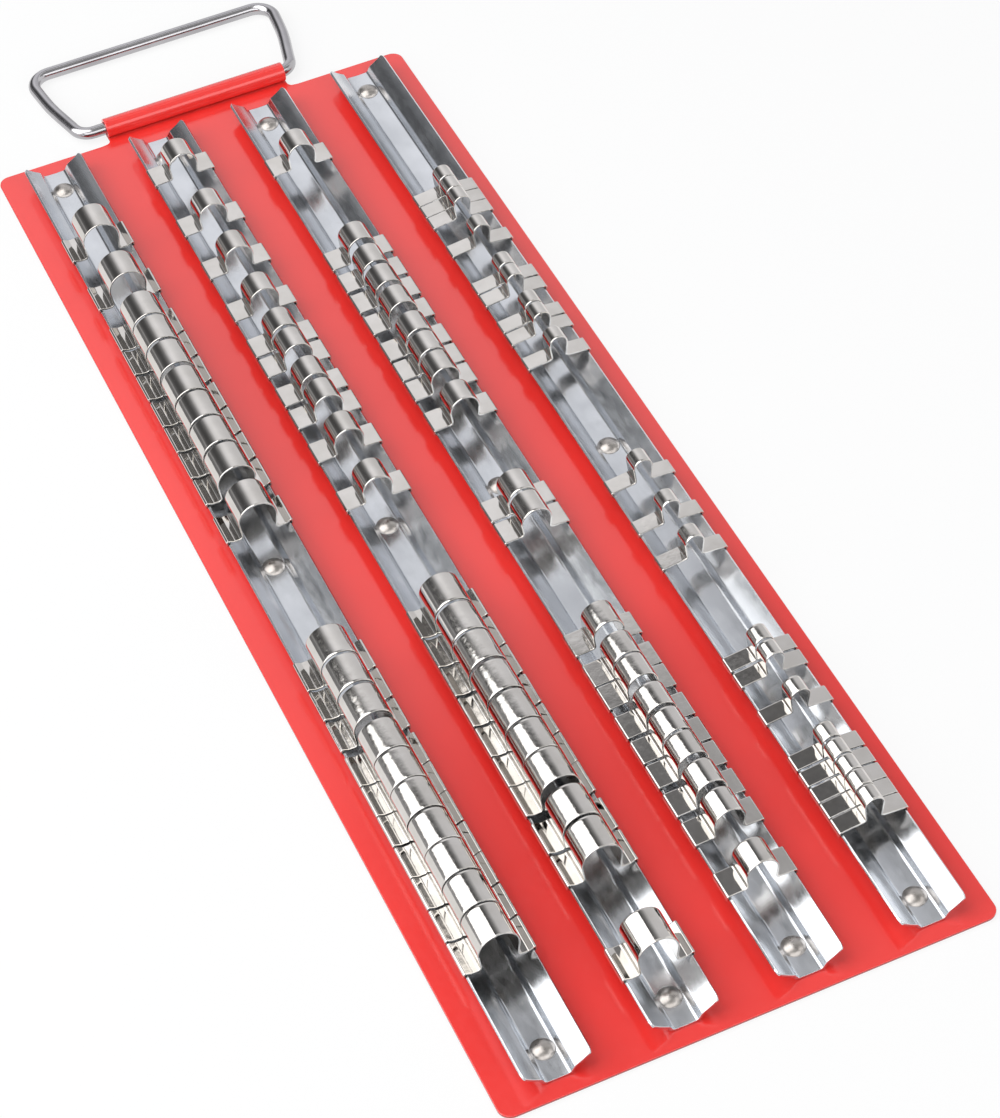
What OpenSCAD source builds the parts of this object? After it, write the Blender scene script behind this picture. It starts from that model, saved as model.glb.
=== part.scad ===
// Socket rail tray: a flat steel plate with four riveted rails, eighty spring clips that slide along
// the rails and a wire carry handle in a rolled tongue.
// X runs across the rails, Y along them towards the handle, Z up. The origin is the centre of the
// plate's underside.

/* [Plate] */
// Length of the plate, without the tongue of the handle
plate_len = 486; // [440:1:540]
// Width of the plate
plate_w = 173.5; // [165:0.5:210]
// Thickness of the plate
plate_t = 1.2; // [1:0.1:1.6]
// Radius of the plate's corners
plate_corner_r = 4.5; // [3:0.5:12]

/* [Handle tongue] */
// Width of the tongue that is rolled into a tube
tongue_w = 77; // [60:1:95]
// Fillet where the tongue leaves the plate
tongue_fillet = 2.5; // [1:0.5:4]
// Distance from the plate's edge to the axis of the roll
tongue_reach = 6.5; // [5.5:0.5:12]
// Radial play of the wire in the roll
roll_play = 0.3; // [0.3:0.05:0.6]
// Angle at which the roll ends, counted from straight out and upwards
roll_end = 212; // [190:1:214]

/* [Carry handle] */
// Diameter of the handle's wire
wire_d = 5; // [4:0.1:5.6]
// Distance from the hinge axis to the grip's centre line
grip_reach = 45.2; // [36:0.2:55]
// How much wider the grip is than the arms at the hinge, on each side
arm_flare = 7.9; // [0:0.1:10]
// How far an arm bows out at its middle
arm_bow = 1.5; // [0.4:0.1:2]
// Distance from the roll's end to where the arm's line crosses the hinge axis
arm_offset = 6.8; // [6.5:0.1:14]
// Bend radius where the wire leaves the roll
foot_bend_r = 6.5; // [6:0.5:8]
// Bend radius at the grip's ends
grip_bend_r = 8; // [5:0.1:12]
// Gap between the wire's two ends inside the roll
wire_end_gap = 2; // [1:0.5:10]
// Sideways place of the handle in its end play
handle_shift = -3; // [-3:0.5:3]
// Rest angle of the handle above the tray's plane
handle_tilt = -1.5; // [-1.5:0.5:60]

/* [Rails] */
// Distance from one rail's centre line to the next
rail_pitch = 43.5; // [36:0.5:46]
// Overall width of a rail across its lips
rail_w = 24; // [22:0.5:28]
// Height of the rail's lips over the plate
rail_h = 8.1; // [7:0.1:10]
// Thickness of the rail's sheet
rail_t = 1; // [0.8:0.1:1.2]
// Width of the rail's floor
rail_floor_w = 9; // [8.8:0.1:10.5]
// Width between the folds at the top of the short walls
rail_fold_w = 12; // [11:0.1:13]
// Height of those folds over the plate
rail_fold_h = 3.35; // [2.8:0.05:4]
// Bend radius of the rail, to the middle of the sheet
rail_bend_r = 1.2; // [1:0.1:1.6]
// Radius of the lips' corners
rail_corner_r = 2.6; // [1:0.1:4]
// Distance from the plate's near edge to the rails
near_margin = 6; // [2:0.5:12]
// Distance from the plate's far edge to the rails
far_margin = 8; // [4:0.5:14]

/* [Rivets] */
// Diameter of a rivet's head
rivet_head_d = 8.2; // [6:0.1:8.2]
// Height of the head's dome
rivet_head_h = 1.7; // [1.5:0.1:3]
// Height of the head's straight rim
rivet_rim_h = 0.4; // [0.3:0.1:1]
// Diameter of the shank
rivet_shank_d = 4.8; // [3.2:0.1:5.2]
// Diameter of the flush tail on the plate's underside
rivet_tail_d = 6.6; // [5.6:0.1:8]
// Distance from a rail's end to its outer rivet
rivet_inset = 11.5; // [8:0.5:30]

/* [Spring clips] */
// Thickness of the clips' spring strip
clip_t = 0.6; // [0.4:0.05:0.7]
// Width of the strip of a half-inch clip
half_strip_w = 13.3; // [11:0.1:14.5]
// Width of the arch of a half-inch clip
half_arch_w = 14.8; // [13.8:0.1:15.6]
// Height of a half-inch clip's arch over the plate
half_arch_h = 22.6; // [20:0.1:26]
// Width of the strip of a three-eighth-inch clip
three_eighth_strip_w = 10.3; // [9:0.1:12]
// Width of the arch of a three-eighth-inch clip
three_eighth_arch_w = 11.8; // [10.5:0.1:12.6]
// Height of a three-eighth-inch clip's arch over the plate
three_eighth_arch_h = 20.4; // [18:0.1:24]
// Width of the strip of a quarter-inch clip
quarter_strip_w = 6.6; // [5.5:0.1:8]
// Width of the arch of a quarter-inch clip
quarter_arch_w = 7.5; // [6.6:0.1:8.4]
// Height of a quarter-inch clip's arch over the plate
quarter_arch_h = 20.1; // [18:0.1:24]

/* [Clearances] */
// Clearance between a clip and the rail's lip
clip_clear = 0.12; // [0.05:0.01:0.2]
// Radial clearance of a rivet in its holes
rivet_clear = 0.05; // [0.02:0.01:0.1]

/* [Hidden] */

$fa = 5;
$fs = 0.3;

// Small overhang that makes a cut run clean through
cut = 1;
// A straight run reaches this far into the bends beside it, and is this much slimmer on each face
joint_lap = 0.05;
sheet_step = 0.004;
wire_step = 0.02;

// Kinds of clip
HALF = 0;
THREE_EIGHTH = 1;
QUARTER = 2;
strip_w = [half_strip_w, three_eighth_strip_w, quarter_strip_w];
arch_w = [half_arch_w, three_eighth_arch_w, quarter_arch_w];
arch_h = [half_arch_h, three_eighth_arch_h, quarter_arch_h];
// Angle by which each kind's walls lean in towards their feet
wall_lean = [7, 7, 7];
// Bend radius at the foot of each kind's walls
foot_r = [1.2, 1.1, 1];
// Height of each kind's tab at the arch and at the lip, over the lip's top
tab_in = [-0.6, 0.2, 1.2];
tab_out = [0.6, 0.2, 0.1];

// Where the clips stand. Each rail is a list of runs from its near end. A run is
// [kind, free length before it, [gaps between its clips]], and clips of one run slide together.
runs = [
    [
        [HALF, 42.4, [0.8, 0.8, 0.4, 0.8, 0.4, 0.5, 3.2, 1.4, 1.1]],
        [HALF, 62.8, []],
        [HALF, 7.2, [1.4, 1.2, 1.2, 2.2, 1.4, 1.1]],
        [HALF, 11.6, []],
        [HALF, 16.7, []]
    ],
    [
        [HALF, 18.5, []],
        [HALF, 27, [1.2, 3.6, 0.4, 0.7, 1, 1.4, 0.8, 1.2]],
        [THREE_EIGHTH, 53.3, []],
        [THREE_EIGHTH, 16.2, []],
        [THREE_EIGHTH, 8.8, [2.5]],
        [THREE_EIGHTH, 6.7, [1.7]],
        [THREE_EIGHTH, 11.2, []],
        [THREE_EIGHTH, 16, []],
        [THREE_EIGHTH, 16.8, []],
        [THREE_EIGHTH, 22.8, []]
    ],
    [
        [THREE_EIGHTH, 32.4, []],
        [THREE_EIGHTH, 12.4, [2.8, 2.8, 1, 1.6, 3.7, 0.7]],
        [THREE_EIGHTH, 4.7, []],
        [THREE_EIGHTH, 47.5, [1.2]],
        [THREE_EIGHTH, 39.8, []],
        [THREE_EIGHTH, 7.1, [1.2, 1.5]],
        [THREE_EIGHTH, 5.5, [2.8, 2.2, 3.7]],
        [THREE_EIGHTH, 50.5, []]
    ],
    [
        [QUARTER, 38.9, [0.4, 0.4, 0.8, 1]],
        [QUARTER, 15, []],
        [QUARTER, 11.3, [1.1]],
        [QUARTER, 45, []],
        [QUARTER, 11.9, []],
        [QUARTER, 15.4, []],
        [QUARTER, 63.7, []],
        [QUARTER, 7.9, [0.8]],
        [QUARTER, 9.5, [0.8]],
        [QUARTER, 16.8, []],
        [QUARTER, 11.5, [0.4, 0.5]]
    ]
];
// Free length after each rail's last run
run_tail = [48.3, 24.5, 40.8, 87.3];

rail_len = plate_len - near_margin - far_margin;
rail_mid_y = (near_margin - far_margin) / 2;
rail_near_y = rail_mid_y - rail_len / 2;

roll_in_r = wire_d / 2 + roll_play;
roll_out_r = roll_in_r + plate_t;
hinge_y = plate_len / 2 + tongue_reach;
hinge_z = roll_out_r;

// Middle of the sheet at the rail's lip. The lip's cut end leans out by the flange's slope.
fold_pt = [rail_fold_w / 2, rail_fold_h];
flange_slope = atan2(rail_h - rail_fold_h, (rail_w - rail_fold_w) / 2);
lip_pt = [
    rail_w / 2 - rail_t / 2 * sin(flange_slope),
    rail_h - rail_t / 2 * cos(flange_slope)
];
// Lowest corner of the lip's cut end
lip_low_z = rail_h - rail_t * cos(flange_slope);

// ---------- bent paths ----------
// A path is a list of [x, y, bend radius]. Its ends need no radius.

function heading(p, i) = atan2(p[i + 1][1] - p[i][1], p[i + 1][0] - p[i][0]);
function run_length(p, i) = norm([p[i + 1][0] - p[i][0], p[i + 1][1] - p[i][1]]);
function wrap_angle(a) = a > 180 ? a - 360 : a < -180 ? a + 360 : a;
function turn(p, i) = wrap_angle(heading(p, i) - heading(p, i - 1));
// Length of a straight run that the bend at point i takes up
function bend_share(p, i) = i == 0 || i == len(p) - 1 ? 0 : p[i][2] * tan(abs(turn(p, i)) / 2);
// Where a straight run starts, and how long it is, with its laps into the bends
function lap_at(p, i) = i == 0 || i == len(p) - 1 ? 0 : joint_lap;
function straight_start(p, i) = bend_share(p, i) - lap_at(p, i);
function straight_length(p, i) =
    run_length(p, i) - straight_start(p, i) - bend_share(p, i + 1) + lap_at(p, i + 1);
function sum(v, n) = n <= 0 ? 0 : v[n - 1] + sum(v, n - 1);

// A stretch of a flat ring from angle a0 up to a1
module ring_arc(in_r, out_r, a0, a1) {
    steps = ceil((a1 - a0) / 45);
    reach = 2 * out_r;
    intersection() {
        difference() {
            circle(out_r);
            circle(in_r);
        }
        polygon(concat(
            [[0, 0]],
            [for (k = [0:steps]) let (a = a0 + (a1 - a0) * k / steps) reach * [cos(a), sin(a)]]
        ));
    }
}

// The section of a sheet of thickness t bent along a path
module bent_sheet(p, t) {
    for (i = [0:len(p) - 2])
        translate([p[i][0], p[i][1]])
            rotate(heading(p, i))
                translate([straight_start(p, i), sheet_step - t / 2])
                    square([straight_length(p, i), t - 2 * sheet_step]);
    for (i = [1:len(p) - 2]) {
        side = sign(turn(p, i));
        start = side > 0 ? -90 : 90 + turn(p, i);
        translate([p[i][0], p[i][1]])
            rotate(heading(p, i - 1))
                translate([-bend_share(p, i), side * p[i][2]])
                    ring_arc(p[i][2] - t / 2, p[i][2] + t / 2, start, start + abs(turn(p, i)));
    }
}

// A wire of diameter d bent along a path in the XY plane
module bent_wire(p, d) {
    for (i = [0:len(p) - 2])
        translate([p[i][0], p[i][1]])
            rotate(heading(p, i))
                translate([straight_start(p, i), 0])
                    rotate([0, 90, 0])
                        cylinder(d = d - 2 * wire_step, h = straight_length(p, i));
    for (i = [1:len(p) - 2]) {
        side = sign(turn(p, i));
        translate([p[i][0], p[i][1]])
            rotate(heading(p, i - 1))
                translate([-bend_share(p, i), side * p[i][2]])
                    rotate(side > 0 ? -90 : 90 + turn(p, i))
                        rotate_extrude(angle = abs(turn(p, i)))
                            translate([p[i][2], 0])
                                circle(d = d);
    }
}

// Stands a section drawn in X and Z up and runs it along Y from y to y + length
module along_y(y, length) {
    translate([0, y + length, 0])
        rotate([90, 0, 0])
            linear_extrude(length)
                children();
}

// ---------- plate ----------

module rounded_rect(w, l, r) {
    square([w - 2 * r, l], center = true);
    square([w, l - 2 * r], center = true);
    for (sx = [-1, 1], sy = [-1, 1])
        translate([sx * (w / 2 - r), sy * (l / 2 - r)])
            circle(r);
}

module plate_outline() {
    rounded_rect(plate_w, plate_len, plate_corner_r);
    translate([-tongue_w / 2, plate_len / 2 - plate_corner_r])
        square([tongue_w, tongue_reach + plate_corner_r]);
    for (s = [-1, 1])
        translate([s * (tongue_w / 2 + tongue_fillet / 2), plate_len / 2 + tongue_fillet / 2])
            difference() {
                square(tongue_fillet, center = true);
                translate([s * tongue_fillet / 2, tongue_fillet / 2])
                    circle(tongue_fillet);
            }
}

module tongue_roll() {
    rotate([90, 0, 90])
        linear_extrude(tongue_w, center = true)
            translate([hinge_y, hinge_z])
                ring_arc(roll_in_r, roll_out_r, -90, roll_end);
}

module rivet_hole() {
    translate([0, 0, -cut])
        cylinder(d = rivet_shank_d + 2 * rivet_clear, h = plate_t + rail_t + 2 * cut);
    rivet_tail(rivet_clear);
}

module tray_plate() {
    color([0.86, 0.13, 0.11])
        difference() {
            union() {
                linear_extrude(plate_t)
                    plate_outline();
                tongue_roll();
            }
            for (r = [0:3])
                at_rivets(r)
                    rivet_hole();
        }
}

// ---------- rails ----------

function rail_x(r) = (r - 1.5) * rail_pitch;

rail_path = [
    [-lip_pt[0], lip_pt[1]],
    [-fold_pt[0], fold_pt[1], rail_bend_r],
    [-rail_floor_w / 2, rail_t / 2, rail_bend_r],
    [rail_floor_w / 2, rail_t / 2, rail_bend_r],
    [fold_pt[0], fold_pt[1], rail_bend_r],
    [lip_pt[0], lip_pt[1]]
];

module rail(r) {
    color([0.74, 0.75, 0.77])
        difference() {
            translate([rail_x(r), 0, plate_t])
                intersection() {
                    along_y(rail_near_y, rail_len)
                        bent_sheet(rail_path, rail_t);
                    translate([0, rail_mid_y, -cut])
                        linear_extrude(rail_h + 2 * cut)
                            rounded_rect(rail_w, rail_len, rail_corner_r);
                }
            at_rivets(r)
                rivet_hole();
        }
}

// ---------- rivets ----------

module at_rivets(r) {
    for (k = [-1:1])
        translate([rail_x(r), rail_mid_y + k * (rail_len / 2 - rivet_inset), 0])
            children();
}

// Radius of the ball whose cap is the head's dome
function dome_r(w, h) = (w * w / 4 + h * h) / (2 * h);

module rivet_head() {
    ball_r = dome_r(rivet_head_d, rivet_head_h);
    rotate_extrude()
        intersection() {
            union() {
                square([rivet_head_d / 2, rivet_rim_h]);
                translate([0, rivet_rim_h + rivet_head_h - ball_r])
                    circle(ball_r);
            }
            square([rivet_head_d / 2, rivet_rim_h + rivet_head_h]);
        }
}

// The tail fills a countersink in the plate and ends flush with its underside
module rivet_tail(clear) {
    depth = (rivet_tail_d - rivet_shank_d) / 2;
    cylinder(d1 = rivet_tail_d + 2 * clear, d2 = rivet_shank_d + 2 * clear, h = min(depth, plate_t / 2));
}

module rivets(r) {
    color([0.72, 0.7, 0.66])
        at_rivets(r) {
            translate([0, 0, plate_t + rail_t])
                rivet_head();
            cylinder(d = rivet_shank_d, h = plate_t + rail_t);
            rivet_tail(0);
        }
}

// ---------- carry handle ----------

// The wire, from one end in the roll round the grip to the other end
foot_x = tongue_w / 2 + arm_offset;
arm_mid = [foot_x + arm_flare / 2 + arm_bow, grip_reach / 2];
// The bow's bend takes up a tenth of the reach on each side of the arm's middle
bow_turn = atan2(grip_reach / 2, arm_flare / 2 - arm_bow) - atan2(grip_reach / 2, arm_flare / 2 + arm_bow);
bow_r = grip_reach / 10 / tan(bow_turn / 2);
handle_path = [
    [wire_end_gap / 2, 0],
    [foot_x, 0, foot_bend_r],
    [arm_mid[0], arm_mid[1], bow_r],
    [foot_x + arm_flare, grip_reach, grip_bend_r],
    [-foot_x - arm_flare, grip_reach, grip_bend_r],
    [-arm_mid[0], arm_mid[1], bow_r],
    [-foot_x, 0, foot_bend_r],
    [-wire_end_gap / 2, 0]
];

module carry_handle() {
    color([0.8, 0.81, 0.83])
        translate([handle_shift, hinge_y, hinge_z])
            rotate([handle_tilt, 0, 0])
                bent_wire(handle_path, wire_d);
}

// ---------- spring clips ----------

// Middle of the strip beside the lip, and under it
hook_x = rail_w / 2 + clip_clear + clip_t / 2;
hook_gap = clip_clear + clip_t / 2;
hook_bend_r = clip_t / 2 + 0.2;
// The hook's last run lies along the flange's underside
hook_turn_z = lip_low_z - hook_gap * (1 - sin(flange_slope)) / cos(flange_slope);
hook_len = 1;
// Distance from the hook at which a half-inch clip's tab starts to rise
trough_rise = 2.6;

// The right half of a clip's strip, from the arch's side to the hook's end
function clip_side(kind) =
    let (
        r = arch_w[kind] / 2 - clip_t / 2,
        lean = wall_lean[kind],
        arch_z = arch_h[kind] - arch_w[kind] / 2,
        side = [r * cos(lean), arch_z - r * sin(lean)],
        tab_in_z = rail_h + hook_gap + tab_in[kind],
        tab_out_z = rail_h + hook_gap + tab_out[kind],
        foot_x = side[0] - (side[1] - tab_in_z) * tan(lean)
    )
    concat(
        [side + joint_lap * [sin(lean), cos(lean)], [foot_x, tab_in_z, foot_r[kind]]],
        kind == HALF ? [[hook_x - trough_rise, tab_in_z, 1.5]] : [],
        [
            [hook_x, tab_out_z, hook_bend_r],
            [hook_x, hook_turn_z, hook_bend_r],
            [hook_x - hook_len * cos(flange_slope), hook_turn_z - hook_len * sin(flange_slope)]
        ]
    );

module clip_section(kind) {
    r = arch_w[kind] / 2;
    translate([0, arch_h[kind] - r])
        ring_arc(r - clip_t, r, -wall_lean[kind], 180 + wall_lean[kind]);
    for (m = [0, 1])
        mirror([m, 0])
            bent_sheet(clip_side(kind), clip_t);
}

function run_kind(r, k) = runs[r][k][0];
function run_clips(r, k) = len(runs[r][k][2]) + 1;
// Free length in a rail as listed, and as the rail has it
function run_gaps(r, k) = sum(runs[r][k][2], len(runs[r][k][2]));
function run_strips(r, k) = run_clips(r, k) * strip_w[run_kind(r, k)];
function listed_gaps(r) =
    run_tail[r] + sum([for (k = [0:len(runs[r]) - 1]) runs[r][k][1] + run_gaps(r, k)], len(runs[r]));
function strips_len(r) = sum([for (k = [0:len(runs[r]) - 1]) run_strips(r, k)], len(runs[r]));
function gap_scale(r) = (rail_len - strips_len(r)) / listed_gaps(r);
function run_len(r, k) = run_strips(r, k) + gap_scale(r) * run_gaps(r, k);
// Near end of run k, and of clip c in it
function run_y(r, k) =
    rail_near_y + gap_scale(r) * sum([for (j = [0:k]) runs[r][j][1]], k + 1)
    + (k == 0 ? 0 : sum([for (j = [0:k - 1]) run_len(r, j)], k));
function clip_y(r, k, c) =
    run_y(r, k) + c * strip_w[run_kind(r, k)] + gap_scale(r) * sum(runs[r][k][2], c);

module clip_run(r, k) {
    color([0.7, 0.68, 0.64])
        for (c = [0:run_clips(r, k) - 1])
            translate([rail_x(r), 0, plate_t])
                along_y(clip_y(r, k, c), strip_w[run_kind(r, k)])
                    clip_section(run_kind(r, k));
}

tray_plate();
carry_handle();
rail(0);  // rail_1
rail(1);  // rail_2
rail(2);  // rail_3
rail(3);  // rail_4
rivets(0);  // rivets_1
rivets(1);  // rivets_2
rivets(2);  // rivets_3
rivets(3);  // rivets_4
clip_run(0, 0);  // half_inch_clips_1a
clip_run(0, 1);  // half_inch_clip_1b
clip_run(0, 2);  // half_inch_clips_1c
clip_run(0, 3);  // half_inch_clip_1d
clip_run(0, 4);  // half_inch_clip_1e
clip_run(1, 0);  // half_inch_clip_2a
clip_run(1, 1);  // half_inch_clips_2b
clip_run(1, 2);  // three_eighth_clip_2c
clip_run(1, 3);  // three_eighth_clip_2d
clip_run(1, 4);  // three_eighth_clips_2e
clip_run(1, 5);  // three_eighth_clips_2f
clip_run(1, 6);  // three_eighth_clip_2g
clip_run(1, 7);  // three_eighth_clip_2h
clip_run(1, 8);  // three_eighth_clip_2i
clip_run(1, 9);  // three_eighth_clip_2j
clip_run(2, 0);  // three_eighth_clip_3a
clip_run(2, 1);  // three_eighth_clips_3b
clip_run(2, 2);  // three_eighth_clip_3c
clip_run(2, 3);  // three_eighth_clips_3d
clip_run(2, 4);  // three_eighth_clip_3e
clip_run(2, 5);  // three_eighth_clips_3f
clip_run(2, 6);  // three_eighth_clips_3g
clip_run(2, 7);  // three_eighth_clip_3h
clip_run(3, 0);  // quarter_inch_clips_4a
clip_run(3, 1);  // quarter_inch_clip_4b
clip_run(3, 2);  // quarter_inch_clips_4c
clip_run(3, 3);  // quarter_inch_clip_4d
clip_run(3, 4);  // quarter_inch_clip_4e
clip_run(3, 5);  // quarter_inch_clip_4f
clip_run(3, 6);  // quarter_inch_clip_4g
clip_run(3, 7);  // quarter_inch_clips_4h
clip_run(3, 8);  // quarter_inch_clips_4i
clip_run(3, 9);  // quarter_inch_clip_4j
clip_run(3, 10);  // quarter_inch_clips_4k
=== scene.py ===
import math
from collections import namedtuple

import bmesh
import bpy
from mathutils import Matrix, Vector


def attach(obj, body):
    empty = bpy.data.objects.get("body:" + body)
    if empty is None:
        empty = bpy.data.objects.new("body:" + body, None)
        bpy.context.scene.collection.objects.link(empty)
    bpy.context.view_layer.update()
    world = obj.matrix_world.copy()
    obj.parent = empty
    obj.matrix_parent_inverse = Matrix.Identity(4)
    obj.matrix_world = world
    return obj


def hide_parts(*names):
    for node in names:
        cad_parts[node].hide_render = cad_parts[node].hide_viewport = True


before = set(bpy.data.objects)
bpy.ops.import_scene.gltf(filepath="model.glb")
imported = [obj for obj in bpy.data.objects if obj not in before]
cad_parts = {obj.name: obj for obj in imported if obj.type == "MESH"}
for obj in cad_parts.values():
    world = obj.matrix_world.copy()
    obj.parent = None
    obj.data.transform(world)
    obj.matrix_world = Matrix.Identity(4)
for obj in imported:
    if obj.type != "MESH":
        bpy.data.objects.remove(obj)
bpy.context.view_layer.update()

# The tray's sizes are in millimetres, as in the part's source
MM = 0.001
# Corners as near as this count as one place
TOUCH = 0.002

PLATE_LEN = 486
PLATE_W = 173.5
PLATE_T = 1.2
PLATE_CORNER_R = 4.5
PLATE_EDGE_R = 0.3
TONGUE_W = 77
TONGUE_FILLET = 2.5
TONGUE_REACH = 6.5
ROLL_IN_R = 2.8
ROLL_END = 212
HINGE_Y = PLATE_LEN / 2 + TONGUE_REACH
HINGE_Z = ROLL_IN_R + PLATE_T

WIRE_D = 5
GRIP_REACH = 45.2
ARM_FLARE = 7.9
ARM_BOW = 1.5
FOOT_X = TONGUE_W / 2 + 6.8
FOOT_BEND_R = 6.5
GRIP_BEND_R = 8
WIRE_END_GAP = 2
HANDLE_SHIFT = -3
HANDLE_TILT = -1.5
WIRE_END_R = 0.35

RAIL_PITCH = 43.5
RAIL_W = 24
RAIL_H = 8.1
RAIL_T = 1
RAIL_FLOOR_W = 9
RAIL_FOLD_W = 12
RAIL_FOLD_H = 3.35
RAIL_BEND_R = 1.2
RAIL_CORNER_R = 2.6
RAIL_EDGE_R = 0.16
# The floor dishes and the flanges bow by these, and the floor's bends are softer than the folds
FLOOR_DISH = 0.24
FLOOR_DISH_R = 40
FLANGE_BOW = 0.36
FLANGE_BOW_R = 24
FLOOR_BEND_R = 1.8
RAIL_NEAR_Y = -237
RAIL_LEN = 472

RIVET_HEAD_D = 8.2
RIVET_HEAD_H = 1.7
RIVET_RIM_H = 0.4
RIVET_TAIL_D = 6.6
RIVET_TAIL_H = 0.6
RIVET_SHANK_R = 2.4
RIVET_RIM_EDGE = 0.15
RIVET_RIM_STEP = 0.1
DOME_RINGS = 8
RIVET_INSET = 11.5

CLIP_T = 0.6
CLIP_CLEAR = 0.12
HOOK_LEN = 1
HOOK_BEND_R = CLIP_T / 2 + 0.2
TROUGH_RISE = 2.6
TROUGH_BEND_R = 1.5
WALL_LEAN = 7
CLIP_EDGE_R = 0.12
# How far in from a clip's cut edge, and how much the arch is drawn in there. The walls' feet stay straight.
CROWN = ((0, 0.07), (0.35, 0.02), (0.9, 0))
WALL_FOOT_H = 2
# The tabs' heights are measured from the rail's lips, where the tab leaves the arch and where it hooks over
ClipKind = namedtuple("ClipKind", "strip_w arch_w arch_h foot_bend_r tab_in tab_out")
HALF = ClipKind(13.3, 14.8, 22.6, 1.2, -0.6, 0.6)
THREE_EIGHTH = ClipKind(10.3, 11.8, 20.4, 1.1, 0.55, 0.2)
QUARTER = ClipKind(6.6, 7.5, 20.1, 1.0, 1.2, 0.1)

# Each rail's runs of clips, from near to far, as (node, kind, free length before it, gaps inside it)
RUNS = (
    (
        ("half_inch_clips_1a", HALF, 42.4, (0.8, 0.8, 0.4, 0.8, 0.4, 0.5, 3.2, 1.4, 1.1)),
        ("half_inch_clip_1b", HALF, 62.8, ()),
        ("half_inch_clips_1c", HALF, 7.2, (1.4, 1.2, 1.2, 2.2, 1.4, 1.1)),
        ("half_inch_clip_1d", HALF, 11.6, ()),
        ("half_inch_clip_1e", HALF, 16.7, ()),
    ),
    (
        ("half_inch_clip_2a", HALF, 18.5, ()),
        ("half_inch_clips_2b", HALF, 27, (1.2, 3.6, 0.4, 0.7, 1, 1.4, 0.8, 1.2)),
        ("three_eighth_clip_2c", THREE_EIGHTH, 53.3, ()),
        ("three_eighth_clip_2d", THREE_EIGHTH, 16.2, ()),
        ("three_eighth_clips_2e", THREE_EIGHTH, 8.8, (2.5,)),
        ("three_eighth_clips_2f", THREE_EIGHTH, 6.7, (1.7,)),
        ("three_eighth_clip_2g", THREE_EIGHTH, 11.2, ()),
        ("three_eighth_clip_2h", THREE_EIGHTH, 16, ()),
        ("three_eighth_clip_2i", THREE_EIGHTH, 16.8, ()),
        ("three_eighth_clip_2j", THREE_EIGHTH, 22.8, ()),
    ),
    (
        ("three_eighth_clip_3a", THREE_EIGHTH, 32.4, ()),
        ("three_eighth_clips_3b", THREE_EIGHTH, 12.4, (2.8, 2.8, 1, 1.6, 3.7, 0.7)),
        ("three_eighth_clip_3c", THREE_EIGHTH, 4.7, ()),
        ("three_eighth_clips_3d", THREE_EIGHTH, 47.5, (1.2,)),
        ("three_eighth_clip_3e", THREE_EIGHTH, 39.8, ()),
        ("three_eighth_clips_3f", THREE_EIGHTH, 7.1, (1.2, 1.5)),
        ("three_eighth_clips_3g", THREE_EIGHTH, 5.5, (2.8, 2.2, 3.7)),
        ("three_eighth_clip_3h", THREE_EIGHTH, 50.5, ()),
    ),
    (
        ("quarter_inch_clips_4a", QUARTER, 38.9, (0.4, 0.4, 0.8, 1)),
        ("quarter_inch_clip_4b", QUARTER, 15, ()),
        ("quarter_inch_clips_4c", QUARTER, 11.3, (1.1,)),
        ("quarter_inch_clip_4d", QUARTER, 45, ()),
        ("quarter_inch_clip_4e", QUARTER, 11.9, ()),
        ("quarter_inch_clip_4f", QUARTER, 15.4, ()),
        ("quarter_inch_clip_4g", QUARTER, 63.7, ()),
        ("quarter_inch_clips_4h", QUARTER, 7.9, (0.8,)),
        ("quarter_inch_clips_4i", QUARTER, 9.5, (0.8,)),
        ("quarter_inch_clip_4j", QUARTER, 16.8, ()),
        ("quarter_inch_clips_4k", QUARTER, 11.5, (0.4, 0.5)),
    ),
)
# Free length after each rail's last run
RUN_TAIL = (48.3, 24.5, 40.8, 87.3)

# The camera solved from the photograph, in metres and degrees, with its lens in millimetres
CAMERA_PLACE = (-0.27271, -0.74935, 0.84382)
CAMERA_BACK = (-0.2457, -0.6280, 0.7384)
CAMERA_ROLL = -4.09
CAMERA_LENS = 104.73

# The studio, in metres. Levels are shares of white.
FILL_LEVEL = 0.26
FLOOR_GLOW = 0.82
FLOOR_GAP = 0.0002
SEEN_FROM = (0, -0.12, 0.02)
WALL_SIZE = (6.8, 3.7)
WALL_Y = 1.8
LOW_WALL_R = 2.3
HIGH_WALL_R = 2.75
HOOD_W = 7
HOOD_Y = -2.9
HOOD_TOP = 2.9
HOOD_REACH = 3.7
SOFT_BOX_REACH = 1.6
SOFT_BOX_LEVEL = 2.2
# The soft box's edges across and along the tray, as shares of its reach
SOFT_BOX_ACROSS = (-0.87, 0.75)
SOFT_BOX_ALONG = (-0.25, 0.78)

# Greys of the studio's far wall against the angle from straight up, towards +X, round SEEN_FROM.
# LOW_WALL holds within LOW_WALL_R of its middle, and HIGH_WALL beyond HIGH_WALL_R.
LOW_WALL = (
    (-88, 0.2), (-77, 0.2), (-70, 0.38), (-63, 0.13), (-50, 0.08), (-40, 0.08), (-30, 0.13),
    (-20, 0.26), (-10, 0.58), (0, 0.9), (12, 1), (20, 0.98), (38, 0.85), (60, 0.76), (82, 0.72),
)
HIGH_WALL = (
    (-85, 0.4), (-60, 0.1), (5, 0.1), (10, 0.14), (20, 0.3),
    (28, 0.52), (36, 0.68), (60, 0.72), (90, 0.72),
)


# ---------- camera and studio ----------

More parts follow.
